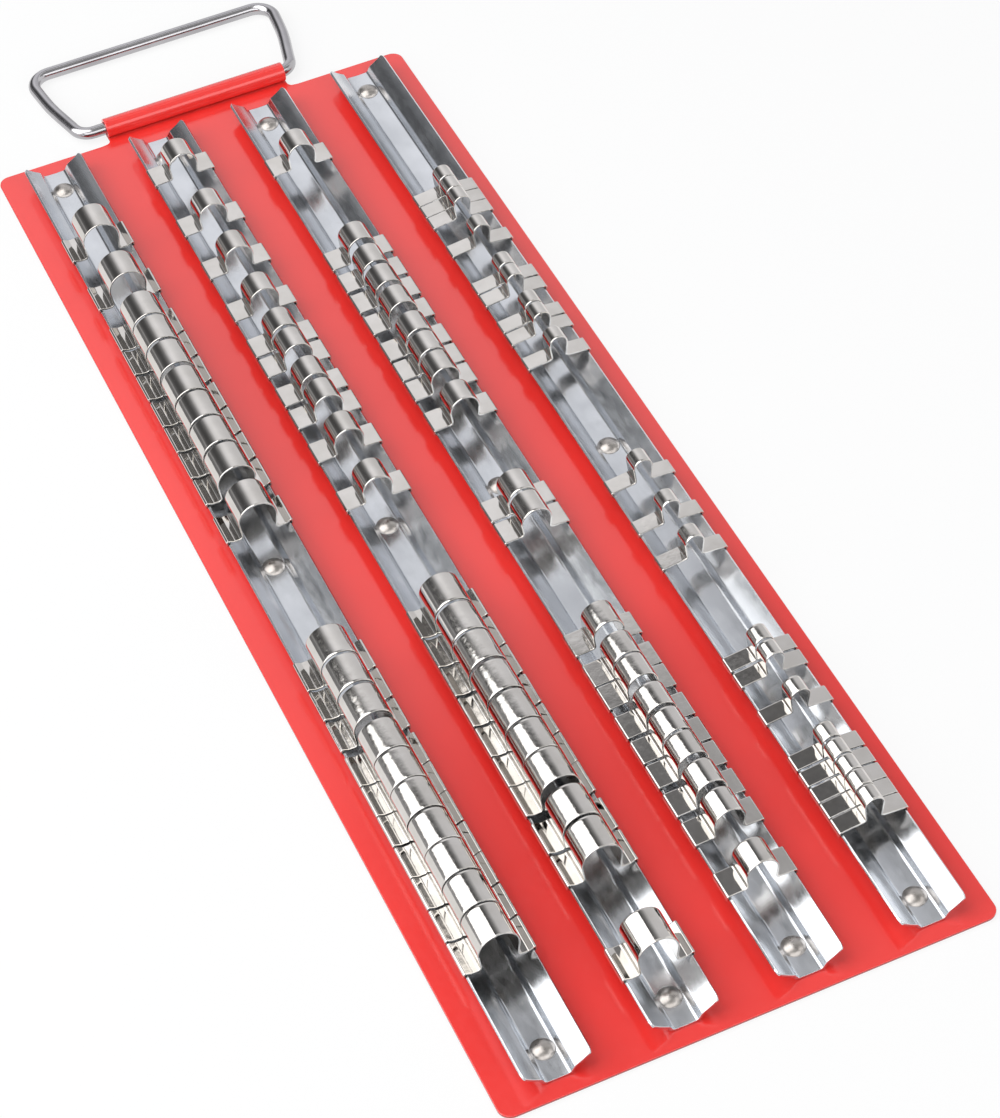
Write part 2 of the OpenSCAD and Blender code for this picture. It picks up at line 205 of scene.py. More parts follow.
def place_camera():
    back = Vector(CAMERA_BACK).normalized()
    right = (-back).cross(Vector((0, 0, 1))).normalized()
    up = right.cross(-back)
    roll = math.radians(CAMERA_ROLL)
    tilted_right = math.cos(roll) * right + math.sin(roll) * up
    tilted_up = -math.sin(roll) * right + math.cos(roll) * up
    bpy.ops.object.camera_add()
    camera = bpy.context.object
    camera.name = "photo_camera"
    turn = Matrix((tilted_right, tilted_up, back)).transposed().to_4x4()
    camera.matrix_world = Matrix.Translation(CAMERA_PLACE) @ turn
    camera.data.sensor_fit = "VERTICAL"
    camera.data.sensor_height = 36
    camera.data.lens = CAMERA_LENS
    camera.data.clip_start = 0.02
    bpy.context.scene.camera = camera


def seen_directly(nodes, links):
    """A factor that is 1 for what the camera, gloss and glass see, and 0 for light that falls on things."""
    path = nodes.new("ShaderNodeLightPath")
    either = nodes.new("ShaderNodeMath")
    either.operation = "MAXIMUM"
    links.new(path.outputs["Is Camera Ray"], either.inputs[0])
    links.new(path.outputs["Is Glossy Ray"], either.inputs[1])
    any_of = nodes.new("ShaderNodeMath")
    any_of.operation = "MAXIMUM"
    links.new(either.outputs[0], any_of.inputs[0])
    links.new(path.outputs["Is Transmission Ray"], any_of.inputs[1])
    return any_of.outputs[0]


def white_room():
    world = bpy.data.worlds.new("white_room")
    world.use_nodes = True
    nodes, links = world.node_tree.nodes, world.node_tree.links
    nodes.clear()
    fill = nodes.new("ShaderNodeBackground")
    fill.inputs["Color"].default_value = (0.95, 0.97, 1, 1)
    fill.inputs["Strength"].default_value = FILL_LEVEL
    shown = nodes.new("ShaderNodeBackground")
    shown.inputs["Color"].default_value = (1, 1, 1, 1)
    shown.inputs["Strength"].default_value = 1
    mix = nodes.new("ShaderNodeMixShader")
    links.new(seen_directly(nodes, links), mix.inputs[0])
    links.new(fill.outputs[0], mix.inputs[1])
    links.new(shown.outputs[0], mix.inputs[2])
    output = nodes.new("ShaderNodeOutputWorld")
    links.new(mix.outputs[0], output.inputs["Surface"])
    bpy.context.scene.world = world


def white_floor():
    deselect_all()
    bpy.ops.mesh.primitive_plane_add(size=12, location=(0, 0, -FLOOR_GAP))
    floor = bpy.context.object
    floor.name = "studio_floor"
    paper = bpy.data.materials.new("white_paper")
    paper.use_nodes = True
    nodes, links = paper.node_tree.nodes, paper.node_tree.links
    nodes.clear()
    matt = nodes.new("ShaderNodeBsdfDiffuse")
    matt.inputs["Color"].default_value = (0.9, 0.9, 0.9, 1)
    glow = nodes.new("ShaderNodeEmission")
    glow.inputs["Color"].default_value = (1, 1, 1, 1)
    glow.inputs["Strength"].default_value = 1
    share = nodes.new("ShaderNodeMath")
    share.operation = "MULTIPLY"
    share.inputs[1].default_value = FLOOR_GLOW
    links.new(seen_directly(nodes, links), share.inputs[0])
    mix = nodes.new("ShaderNodeMixShader")
    links.new(share.outputs[0], mix.inputs[0])
    links.new(matt.outputs[0], mix.inputs[1])
    links.new(glow.outputs[0], mix.inputs[2])
    output = nodes.new("ShaderNodeOutputMaterial")
    links.new(mix.outputs[0], output.inputs["Surface"])
    floor.data.materials.append(paper)


def grey_ramp(nodes, links, value, stops):
    """Turns an angle in degrees, from -90 to 90, into a grey."""
    share = nodes.new("ShaderNodeMapRange")
    share.inputs["From Min"].default_value = -90
    share.inputs["From Max"].default_value = 90
    links.new(value, share.inputs["Value"])
    ramp = nodes.new("ShaderNodeValToRGB")
    while len(ramp.color_ramp.elements) < len(stops):
        ramp.color_ramp.elements.new(0.5)
    for element, (angle, level) in zip(ramp.color_ramp.elements, stops):
        element.position = (angle + 90) / 180
        element.color = (level, level, level * 1.03, 1)
    links.new(share.outputs["Result"], ramp.inputs["Fac"])
    return ramp.outputs["Color"]


def math_node(nodes, links, operation, first, second=0):
    step = nodes.new("ShaderNodeMath")
    step.operation = operation
    for socket, value in zip(step.inputs, (first, second)):
        if isinstance(value, (int, float)):
            socket.default_value = value
        else:
            links.new(value, socket)
    return step.outputs[0]


def shaded_wall():
    """The studio's far wall, which only gloss sees: dark on the left and bright on the right. High up,
    the dark reaches farther to the right."""
    deselect_all()
    bpy.ops.mesh.primitive_plane_add(size=1, rotation=(math.pi / 2, 0, 0))
    wall = bpy.context.object
    wall.name = "shaded_wall"
    wall.scale = (*WALL_SIZE, 1)
    wall.location = (0, WALL_Y, WALL_SIZE[1] / 2)
    bpy.ops.object.transform_apply(location=True, rotation=True, scale=True)
    shade = bpy.data.materials.new("wall_shade")
    shade.use_nodes = True
    nodes, links = shade.node_tree.nodes, shade.node_tree.links
    nodes.clear()
    place = nodes.new("ShaderNodeTexCoord")
    split = nodes.new("ShaderNodeSeparateXYZ")
    links.new(place.outputs["Object"], split.inputs[0])
    x, z = split.outputs["X"], math_node(nodes, links, "SUBTRACT", split.outputs["Z"], SEEN_FROM[2])
    lean = math_node(nodes, links, "MULTIPLY", math_node(nodes, links, "ARCTAN2", x, z), 180 / math.pi)
    across, up = math_node(nodes, links, "MULTIPLY", x, x), math_node(nodes, links, "MULTIPLY", z, z)
    radius = math_node(nodes, links, "SQRT", math_node(nodes, links, "ADD", across, up))
    low = grey_ramp(nodes, links, lean, LOW_WALL)
    high = grey_ramp(nodes, links, lean, HIGH_WALL)
    share = nodes.new("ShaderNodeMapRange")
    share.interpolation_type = "SMOOTHSTEP"
    share.inputs["From Min"].default_value = LOW_WALL_R
    share.inputs["From Max"].default_value = HIGH_WALL_R
    links.new(radius, share.inputs["Value"])
    blend = nodes.new("ShaderNodeMix")
    blend.data_type = "RGBA"
    links.new(share.outputs["Result"], blend.inputs["Factor"])
    links.new(low, blend.inputs["A"])
    links.new(high, blend.inputs["B"])
    glow = nodes.new("ShaderNodeEmission")
    links.new(blend.outputs["Result"], glow.inputs["Color"])
    output = nodes.new("ShaderNodeOutputMaterial")
    links.new(glow.outputs[0], output.inputs["Surface"])
    wall.data.materials.append(shade)
    only_for_gloss(wall)


def only_for_gloss(card):
    card.visible_camera = False
    card.visible_diffuse = False
    card.visible_transmission = False
    card.visible_shadow = False


def dark_hood():
    """The dark side of the studio behind and over the camera, which only gloss sees. It draws the dark
    lines along the grip and shades the tops of the rivets."""
    deselect_all()
    bpy.ops.mesh.primitive_plane_add(size=1, rotation=(math.pi / 2, 0, 0))
    hood = bpy.context.object
    hood.name = "dark_hood"
    hood.scale = (HOOD_W, HOOD_TOP, 1)
    hood.location = (0, HOOD_Y, HOOD_TOP / 2)
    bpy.ops.object.transform_apply(location=True, rotation=True, scale=True)
    bpy.ops.object.mode_set(mode="EDIT")
    pick(hood, "EDGE", lambda x, y, z: z * MM > HOOD_TOP - 0.1)
    extrude(0, HOOD_REACH / MM, 0)
    bpy.ops.object.mode_set(mode="OBJECT")
    cloth = bpy.data.materials.new("dark_cloth")
    cloth.use_nodes = True
    nodes, links = cloth.node_tree.nodes, cloth.node_tree.links
    nodes.clear()
    place = nodes.new("ShaderNodeTexCoord")
    split = nodes.new("ShaderNodeSeparateXYZ")
    links.new(place.outputs["Object"], split.inputs[0])
    glow = nodes.new("ShaderNodeEmission")
    level = to_range(nodes, links, split.outputs["Y"], low=0.12, high=0.4, start=-2.8, end=-1.2)
    links.new(level, glow.inputs["Strength"])
    output = nodes.new("ShaderNodeOutputMaterial")
    links.new(glow.outputs[0], output.inputs["Surface"])
    hood.data.materials.append(cloth)
    only_for_gloss(hood)


def soft_lamp(name, middle, aim, size, level):
    """A soft box whose face has the given brightness."""
    bpy.ops.object.light_add(type="AREA")
    lamp = bpy.context.object
    lamp.name = name
    lamp.data.shape = "RECTANGLE"
    lamp.data.size = size[0]
    lamp.data.size_y = size[1]
    lamp.data.energy = level * math.pi * size[0] * size[1]
    lamp.location = middle
    lamp.rotation_euler = (Vector(middle) - Vector(aim)).to_track_quat("Z", "Y").to_euler()
    lamp.visible_camera = False
    return lamp


def light_studio():
    # The soft box leans over the tray from the left. Its far edge shows in the near arches.
    out, across, far = Vector((-0.6, 0, 0.8)), Vector((0.8, 0, 0.6)), Vector((0, 1, 0))
    low, high = SOFT_BOX_ACROSS
    front, back = SOFT_BOX_ALONG
    way = out + (low + high) / 2 * across + (front + back) / 2 * far
    middle = Vector(SEEN_FROM) + SOFT_BOX_REACH * way
    size = (SOFT_BOX_REACH * (high - low), SOFT_BOX_REACH * (back - front))
    soft_box = soft_lamp("soft_box", middle, middle - out, size, SOFT_BOX_LEVEL)
    soft_box.matrix_world = Matrix.Translation(middle) @ Matrix((across, far, out)).transposed().to_4x4()
    # A wide bank behind and over the camera lights the roll and the grip from the front
    soft_lamp("front_bank", middle=(-0.2, -2.5, 1.8), aim=(0, 0, 0), size=(4.8, 2.1), level=1.9)
    # A small box on the right, which only gloss sees, gives the rivets their second bright spot
    side_box = soft_lamp("side_box", middle=(1.15, -0.75, 1.3), aim=(0, 0, 0), size=(0.7, 0.6), level=1.4)
    side_box.visible_diffuse = False
    shaded_wall()
    dark_hood()


# ---------- modelling by hand ----------

def deselect_all():
    if bpy.context.object and bpy.context.object.mode != "OBJECT":
        bpy.ops.object.mode_set(mode="OBJECT")
    bpy.ops.object.select_all(action="DESELECT")


def only(piece):
    deselect_all()
    piece.select_set(True)
    bpy.context.view_layer.objects.active = piece


def pick(piece, kind, wanted):
    """Selects the piece's vertices, edges or faces whose corners all pass the test, in millimetres."""
    bpy.ops.mesh.select_mode(type=kind)
    bpy.ops.mesh.select_all(action="DESELECT")
    mesh = bmesh.from_edit_mesh(piece.data)
    parts = {"VERT": mesh.verts, "EDGE": mesh.edges, "FACE": mesh.faces}[kind]
    for part in parts:
        corners = [part] if kind == "VERT" else part.verts
        if all(wanted(*(v.co / MM)) for v in corners):
            part.select_set(True)
    mesh.select_flush_mode()
    bmesh.update_edit_mesh(piece.data)


def near_to(x, z):
    return lambda px, py, pz: abs(px - x) < TOUCH and abs(pz - z) < TOUCH


def extrude(dx, dy, dz):
    bpy.ops.mesh.extrude_region_move(TRANSFORM_OT_translate={"value": (dx * MM, dy * MM, dz * MM)})


def spin(x, y, z, axis, degrees, steps):
    """Sweeps the selection round the axis, right-handed. The operator itself turns the other way."""
    bpy.ops.mesh.spin(steps=steps, angle=math.radians(-degrees), center=(x * MM, y * MM, z * MM), axis=axis)


def finish_modifier(piece, kind, **settings):
    modifier = piece.modifiers.new(kind.lower(), kind)
    for name, value in settings.items():
        setattr(modifier, name, value)
    only(piece)
    bpy.ops.object.modifier_apply(modifier=modifier.name)


def heading(a, b):
    return math.atan2(b[1] - a[1], b[0] - a[0])


def wrap(angle):
    return (angle + math.pi) % (2 * math.pi) - math.pi


def bend_share(path, i):
    """Length of a straight run that the bend at point i takes up."""
    if i == 0 or i == len(path) - 1:
        return 0
    turn = wrap(heading(path[i], path[i + 1]) - heading(path[i - 1], path[i]))
    return path[i][2] * math.tan(abs(turn) / 2)


def along(path, i, distance):
    """The point that lies the distance past point i, towards the next one."""
    h = heading(path[i], path[i + 1])
    return path[i][0] + distance * math.cos(h), path[i][1] + distance * math.sin(h)


def flat_strip(name, start, end, near_y, width):
    """A flat sheet between two points in X and Z, running along Y."""
    deselect_all()
    bpy.ops.mesh.primitive_plane_add(size=1)
    strip = bpy.context.object
    strip.name = name
    length = math.hypot(end[0] - start[0], end[1] - start[1])
    strip.scale = (length * MM, width * MM, 1)
    strip.rotation_euler = (0, -heading(start, end), 0)
    strip.location = (
        (start[0] + end[0]) / 2 * MM, (near_y + width / 2) * MM, (start[1] + end[1]) / 2 * MM
    )
    bpy.ops.object.transform_apply(location=True, rotation=True, scale=True)
    return strip


def bend_on(strip, path, degrees_a_step):
    """Bends the strip on from its end, round every corner of the path after its first straight run."""
    bpy.ops.object.mode_set(mode="EDIT")
    pick(strip, "EDGE", near_to(*tangent_in(path, 1)))
    for i in range(1, len(path) - 1):
        h0, h1 = heading(path[i - 1], path[i]), heading(path[i], path[i + 1])
        turn = wrap(h1 - h0)
        side = math.copysign(path[i][2], turn)
        start = tangent_in(path, i)
        spin(
            start[0] - side * math.sin(h0), 0, start[1] + side * math.cos(h0), (0, 1, 0),
            -math.degrees(turn), bend_steps(path[i][2], math.degrees(turn), degrees_a_step),
        )
        run_from = along(path, i, bend_share(path, i))
        run_to = along(path, i, math.dist(path[i][:2], path[i + 1][:2]) - bend_share(path, i + 1))
        extrude(run_to[0] - run_from[0], 0, run_to[1] - run_from[1])
    bpy.ops.object.mode_set(mode="OBJECT")


def bend_steps(radius, degrees, degrees_a_step):
    """The floor's dish and the flanges' bows are wide, shallow bends of six steps each."""
    return 6 if radius > 10 else max(2, math.ceil(abs(degrees) / degrees_a_step))


def tangent_in(path, i):
    """Where the bend at point i starts."""
    h = heading(path[i - 1], path[i])
    share = bend_share(path, i)
    return path[i][0] - share * math.cos(h), path[i][1] - share * math.sin(h)


def sheet_metal(piece, thickness, edge):
    """Gives a bent sheet its thickness and softens its cut edges."""
    only(piece)
    bpy.ops.object.mode_set(mode="EDIT")
    bpy.ops.mesh.select_all(action="SELECT")
    bpy.ops.mesh.remove_doubles(threshold=TOUCH * MM)
    bpy.ops.mesh.normals_make_consistent(inside=False)
    bpy.ops.object.mode_set(mode="OBJECT")
    finish_modifier(piece, "SOLIDIFY", thickness=thickness * MM, offset=0, use_even_offset=True)
    finish_modifier(
        piece, "BEVEL", width=edge * MM, segments=2, limit_method="ANGLE", angle_limit=math.radians(50)
    )
    only(piece)
    bpy.ops.object.shade_smooth_by_angle(angle=math.radians(50))
    # Wide flat faces keep their own direction beside the bends and the softened edges
    finish_modifier(piece, "WEIGHTED_NORMAL", mode="FACE_AREA", weight=100, keep_sharp=True)


def move_to(piece, x, y, z):
    only(piece)
    piece.location = (x * MM, y * MM, z * MM)
    bpy.ops.object.transform_apply(location=True, rotation=True, scale=True)


def copy_at(piece, name, x, y, z):
    only(piece)
    bpy.ops.object.duplicate()
    twin = bpy.context.object
    twin.name = name
    twin.data.name = name
    move_to(twin, x, y, z)
    return twin


def join(pieces):
    deselect_all()
    for piece in pieces:
        piece.select_set(True)
    bpy.context.view_layer.objects.active = pieces[0]
    bpy.ops.object.join()
    return pieces[0]


def remove(piece):
    only(piece)
    bpy.ops.object.delete()


def fit(piece, body, node, finish):
    """The piece takes the node's place on its body and gets its finish."""
    piece.data.materials.clear()
    piece.data.materials.append(finish)
    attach(piece, body)
    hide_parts(node)


# ---------- plate ----------

def make_plate(finish):
    deselect_all()
    bpy.ops.mesh.primitive_plane_add(size=1)
    plate = bpy.context.object
    plate.name = "pressed_plate"
    plate.scale = (PLATE_W * MM, PLATE_LEN * MM, 1)
    plate.location = (0, 0, PLATE_T / 2 * MM)
    bpy.ops.object.transform_apply(location=True, rotation=True, scale=True)
    bpy.ops.object.mode_set(mode="EDIT")
    root = TONGUE_W / 2 + TONGUE_FILLET
    for x in (-root, root):
        bpy.ops.mesh.select_all(action="SELECT")
        bpy.ops.mesh.bisect(plane_co=(x * MM, 0, 0), plane_no=(1, 0, 0))
    pick(plate, "VERT", lambda x, y, z: abs(x) > PLATE_W / 2 - 1 and abs(y) > PLATE_LEN / 2 - 1)
    bpy.ops.mesh.bevel(offset=PLATE_CORNER_R * MM, segments=10, affect="VERTICES")
    # The tongue narrows through its fillets, runs out and rolls round the wire
    pick(plate, "EDGE", lambda x, y, z: abs(x) < root + 0.01 and y > PLATE_LEN / 2 - 0.01)
    steps, half = 6, root
    for k in range(1, steps + 1):
        a0, a1 = math.radians(90 * (k - 1) / steps), math.radians(90 * k / steps)
        extrude(0, TONGUE_FILLET * (math.cos(a0) - math.cos(a1)), 0)
        narrower = TONGUE_W / 2 + TONGUE_FILLET * (1 - math.sin(a1))
        bpy.ops.transform.resize(value=(narrower / half, 1, 1), center_override=(0, 0, 0))
        half = narrower
    extrude(0, TONGUE_REACH - TONGUE_FILLET, 0)
    spin(0, HINGE_Y, HINGE_Z, (1, 0, 0), degrees=ROLL_END + 90, steps=42)
    bpy.ops.object.mode_set(mode="OBJECT")
    sheet_metal(plate, PLATE_T, PLATE_EDGE_R)
    fit(plate, "tray", "tray_plate", finish)


# ---------- rails ----------

def rail_x(r):
    return (r - 1.5) * RAIL_PITCH


def make_rails(finish):
    slope = math.atan2(RAIL_H - RAIL_FOLD_H, (RAIL_W - RAIL_FOLD_W) / 2)
    lip = (RAIL_W / 2 - RAIL_T / 2 * math.sin(slope), RAIL_H - RAIL_T / 2 * math.cos(slope))
    fold = (RAIL_FOLD_W / 2, RAIL_FOLD_H)
    bow = (
        (lip[0] + fold[0]) / 2 + FLANGE_BOW * math.sin(slope),
        (lip[1] + fold[1]) / 2 - FLANGE_BOW * math.cos(slope),
    )
    half = [
        (RAIL_FLOOR_W / 2, RAIL_T / 2 + FLOOR_DISH, FLOOR_BEND_R),
        (*fold, RAIL_BEND_R), (*bow, FLANGE_BOW_R), (*lip, 0),
    ]
    path = [(-x, z, radius) for x, z, radius in reversed(half)] + [(0, RAIL_T / 2, FLOOR_DISH_R)] + half
    rail = flat_strip("rail", path[0], tangent_in(path, 1), RAIL_NEAR_Y, RAIL_LEN)
    bend_on(rail, path, degrees_a_step=9)
    bpy.ops.object.mode_set(mode="EDIT")
    pick(rail, "VERT", lambda x, y, z: abs(x) > lip[0] - 0.01)
    bpy.ops.mesh.bevel(offset=RAIL_CORNER_R * MM, segments=6, affect="VERTICES")
    bpy.ops.object.mode_set(mode="OBJECT")
    sheet_metal(rail, RAIL_T, RAIL_EDGE_R)
    for r in range(4):
        piece = copy_at(rail, f"channel_rail_{r + 1}", rail_x(r), 0, PLATE_T)
        fit(piece, "tray", f"rail_{r + 1}", finish)
    remove(rail)


# ---------- rivets ----------

def make_rivets(finish):
    """A domed head on a low rim, over a shank that flares out again to the plate's underside."""
    ball_r = (RIVET_HEAD_D ** 2 / 4 + RIVET_HEAD_H ** 2) / (2 * RIVET_HEAD_H)
    deselect_all()
    bpy.ops.mesh.primitive_circle_add(vertices=40, radius=RIVET_TAIL_D / 2 * MM, fill_type="NGON")
    rivet = bpy.context.object
    rivet.name = "rivet"
    bpy.ops.object.mode_set(mode="EDIT")
    bpy.ops.mesh.select_all(action="SELECT")
    ring = RIVET_TAIL_D / 2

    def to_ring(rise, radius):
        nonlocal ring
        extrude(0, 0, rise)
        if abs(radius - ring) > 1e-9:
            bpy.ops.transform.resize(value=(radius / ring, radius / ring, 1), center_override=(0, 0, 0))
        ring = radius

    to_ring(RIVET_TAIL_H, RIVET_SHANK_R)
    to_ring(PLATE_T + RAIL_T - RIVET_TAIL_H, RIVET_SHANK_R)
    to_ring(0, RIVET_HEAD_D / 2 - RIVET_RIM_EDGE)
    to_ring(RIVET_RIM_EDGE, RIVET_HEAD_D / 2)
    to_ring(RIVET_RIM_H - RIVET_RIM_EDGE - RIVET_RIM_STEP, RIVET_HEAD_D / 2)
    half_angle = math.asin(RIVET_HEAD_D / 2 / ball_r)
    height = RIVET_RIM_H - RIVET_RIM_STEP
    # The rings climb the dome and leave a small flat top
    for k in range(1, DOME_RINGS + 1):
        a = half_angle * (1 - k / (DOME_RINGS + 0.5))
        up = RIVET_RIM_H + RIVET_HEAD_H - ball_r + ball_r * math.cos(a)
        to_ring(up - height, ball_r * math.sin(a))
        height = up
    bpy.ops.mesh.select_all(action="SELECT")
    bpy.ops.mesh.normals_make_consistent(inside=False)
    bpy.ops.object.mode_set(mode="OBJECT")
    only(rivet)
    bpy.ops.object.shade_smooth_by_angle(angle=math.radians(40))
    for r in range(4):
        three = [
            copy_at(
                rivet, f"dome_rivets_{r + 1}", rail_x(r),
                RAIL_NEAR_Y + RAIL_LEN / 2 + k * (RAIL_LEN / 2 - RIVET_INSET), 0,
            )
            for k in (-1, 0, 1)
        ]
        fit(join(three), "tray", f"rivets_{r + 1}", finish)
    remove(rivet)


# ---------- carry handle ----------

def make_handle(finish):
    """A round wire swept along the handle's path, flat on XY, and then laid down at its hinge."""
    half_arm, half_flare = GRIP_REACH / 2, ARM_FLARE / 2
    # The bow in each arm takes up a tenth of its reach on either side of its middle
    arm_mid = (FOOT_X + half_flare + ARM_BOW, half_arm)
    bow_turn = math.atan2(half_arm, half_flare - ARM_BOW) - math.atan2(half_arm, half_flare + ARM_BOW)
    bow_r = GRIP_REACH / 10 / math.tan(bow_turn / 2)
    path = [
        (WIRE_END_GAP / 2, 0, 0), (FOOT_X, 0, FOOT_BEND_R), (*arm_mid, bow_r),
        (FOOT_X + ARM_FLARE, GRIP_REACH, GRIP_BEND_R), (-FOOT_X - ARM_FLARE, GRIP_REACH, GRIP_BEND_R),
        (-arm_mid[0], arm_mid[1], bow_r), (-FOOT_X, 0, FOOT_BEND_R), (-WIRE_END_GAP / 2, 0, 0),
    ]
    deselect_all()
    bpy.ops.mesh.primitive_circle_add(
        vertices=28, radius=WIRE_D / 2 * MM, fill_type="NGON", rotation=(0, math.pi / 2, 0)
    )
    wire = bpy.context.object
    wire.name = "wire_carry_handle"
    wire.location = (path[0][0] * MM, 0, 0)
    bpy.ops.object.transform_apply(location=True, rotation=True, scale=True)
    bpy.ops.object.mode_set(mode="EDIT")
    bpy.ops.mesh.select_all(action="SELECT")
    here = path[0]
    for i in range(1, len(path) - 1):
        h0, h1 = heading(path[i - 1], path[i]), heading(path[i], path[i + 1])
        turn = wrap(h1 - h0)
        start = tangent_in(path, i)
        extrude(start[0] - here[0], start[1] - here[1], 0)
        side = math.copysign(path[i][2], turn)
        spin(
            start[0] - side * math.sin(h0), start[1] + side * math.cos(h0), 0, (0, 0, 1),
            math.degrees(turn), max(2, math.ceil(abs(math.degrees(turn)) / 6)),
        )
        here = along(path, i, bend_share(path, i))
    extrude(path[-1][0] - here[0], path[-1][1] - here[1], 0)
    bpy.ops.mesh.select_all(action="SELECT")
    bpy.ops.mesh.remove_doubles(threshold=TOUCH * MM)
    bpy.ops.mesh.normals_make_consistent(inside=False)
    bpy.ops.object.mode_set(mode="OBJECT")
    finish_modifier(
        wire, "BEVEL", width=WIRE_END_R * MM, segments=2, limit_method="ANGLE", angle_limit=math.radians(50)
    )
    only(wire)
    bpy.ops.object.shade_smooth_by_angle(angle=math.radians(35))
    wire.rotation_euler = (math.radians(HANDLE_TILT), 0, 0)
    wire.location = (HANDLE_SHIFT * MM, HINGE_Y * MM, HINGE_Z * MM)
    bpy.ops.object.transform_apply(location=True, rotation=True, scale=True)
    fit(wire, "carry_handle", "carry_handle", finish)


# ---------- spring clips ----------

def clip_path(kind):
    """The middle of the right half of a clip's strip, from the arch's side to the hook's end."""
    slope = math.atan2(RAIL_H - RAIL_FOLD_H, (RAIL_W - RAIL_FOLD_W) / 2)
    hook_x = RAIL_W / 2 + CLIP_CLEAR + CLIP_T / 2
    hook_gap = CLIP_CLEAR + CLIP_T / 2
    lip_low = RAIL_H - RAIL_T * math.cos(slope)
    hook_turn = lip_low - hook_gap * (1 - math.sin(slope)) / math.cos(slope)
    r = kind.arch_w / 2 - CLIP_T / 2
    lean = math.radians(WALL_LEAN)
    side = (r * math.cos(lean), kind.arch_h - kind.arch_w / 2 - r * math.sin(lean))
    inner, outer = RAIL_H + hook_gap + kind.tab_in, RAIL_H + hook_gap + kind.tab_out
    path = [(*side, 0), (side[0] - (side[1] - inner) * math.tan(lean), inner, kind.foot_bend_r)]
    if kind is HALF:
        path.append((hook_x - TROUGH_RISE, inner, TROUGH_BEND_R))
    path.append((hook_x, outer, HOOK_BEND_R))
    path.append((hook_x, hook_turn, HOOK_BEND_R))
    path.append((hook_x - HOOK_LEN * math.cos(slope), hook_turn - HOOK_LEN * math.sin(slope), 0))
    return path


def make_clip(name, kind):
    path = clip_path(kind)
    clip = flat_strip(name, path[0], tangent_in(path, 1), 0, kind.strip_w)
    bend_on(clip, path, degrees_a_step=12)
    bpy.ops.object.mode_set(mode="EDIT")
    pick(clip, "EDGE", near_to(path[0][0], path[0][1]))
    spin(0, 0, kind.arch_h - kind.arch_w / 2, (0, 1, 0), degrees=-(90 + WALL_LEAN), steps=15)
    bpy.ops.object.mode_set(mode="OBJECT")
    finish_modifier(clip, "MIRROR", use_axis=(True, False, False), use_clip=True, merge_threshold=0.00001)
    crown(clip, kind)
    sheet_metal(clip, CLIP_T, CLIP_EDGE_R)
    return clip


def crown(clip, kind):
    """Draws the arch in a little towards the strip's two cut edges, as a pressed strip is."""
    wall_foot = RAIL_H + kind.tab_in + WALL_FOOT_H
    bpy.ops.object.mode_set(mode="EDIT")
    for inset, _ in CROWN[1:]:
        for y in (inset, kind.strip_w - inset):
            bpy.ops.mesh.select_all(action="SELECT")
            bpy.ops.mesh.bisect(plane_co=(0, y * MM, 0), plane_no=(0, 1, 0))
    bpy.ops.mesh.select_all(action="SELECT")
    bpy.ops.mesh.normals_make_consistent(inside=False)
    mesh = bmesh.from_edit_mesh(clip.data)
    if max(mesh.faces, key=lambda face: face.calc_center_median().z).normal.z < 0:
        bpy.ops.mesh.flip_normals()
    for inset, drop in CROWN[:-1]:
        pick(
            clip, "VERT",
            lambda x, y, z: z > wall_foot and abs(min(y, kind.strip_w - y) - inset) < TOUCH,
        )
        bpy.ops.transform.shrink_fatten(value=-drop * MM)
    bpy.ops.object.mode_set(mode="OBJECT")


def make_clips(finish):
    masters = {
        HALF: make_clip("half_inch_clip", HALF),
        THREE_EIGHTH: make_clip("three_eighth_clip", THREE_EIGHTH),
        QUARTER: make_clip("quarter_inch_clip", QUARTER),
    }
    for r, runs in enumerate(RUNS):
        free = RAIL_LEN - sum(kind.strip_w * (len(gaps) + 1) for _, kind, _, gaps in runs)
        listed = RUN_TAIL[r] + sum(before + sum(gaps) for _, _, before, gaps in runs)
        scale = free / listed
        y = RAIL_NEAR_Y
        for node, kind, before, gaps in runs:
            y += before * scale
            clips = []
            for gap in (*gaps, 0):
                clips.append(copy_at(masters[kind], "spring_" + node, rail_x(r), y, PLATE_T))
                y += kind.strip_w + gap * scale
            fit(join(clips), node, node, finish)
    for clip in masters.values():
        remove(clip)


# ---------- finishes ----------

def new_finish(name, metallic):
    """A finish whose colour and roughness come from its nodes."""
    finish = bpy.data.materials.new(name)
    finish.use_nodes = True
    shader = finish.node_tree.nodes["Principled BSDF"]
    shader.inputs["Metallic"].default_value = metallic
    return finish, finish.node_tree.nodes, finish.node_tree.links, shader


def noise(nodes, links, scale, detail, stretch=(1, 1, 1)):
    place = nodes.new("ShaderNodeTexCoord")
    mapping = nodes.new("ShaderNodeMapping")
    mapping.inputs["Scale"].default_value = stretch
    links.new(place.outputs["Object"], mapping.inputs["Vector"])
    texture = nodes.new("ShaderNodeTexNoise")
    texture.inputs["Scale"].default_value = scale
    texture.inputs["Detail"].default_value = detail
    links.new(mapping.outputs[0], texture.inputs["Vector"])
    return texture.outputs["Fac"]


def to_range(nodes, links, value, low, high, start=0.3, end=0.7):
    spread = nodes.new("ShaderNodeMapRange")
    spread.inputs["From Min"].default_value = start
    spread.inputs["From Max"].default_value = end
    spread.inputs["To Min"].default_value = low
    spread.inputs["To Max"].default_value = high
    links.new(value, spread.inputs["Value"])
    return spread.outputs["Result"]


def tint(nodes, links, value, dark, light):
    """Turns the middle range of a noise into a colour between the two."""
    ramp = nodes.new("ShaderNodeValToRGB")
    for element, position, colour in zip(ramp.color_ramp.elements, (0.35, 0.65), (dark, light)):
        element.position = position
        element.color = (*colour, 1)
    links.new(value, ramp.inputs["Fac"])
    return ramp.outputs["Color"]


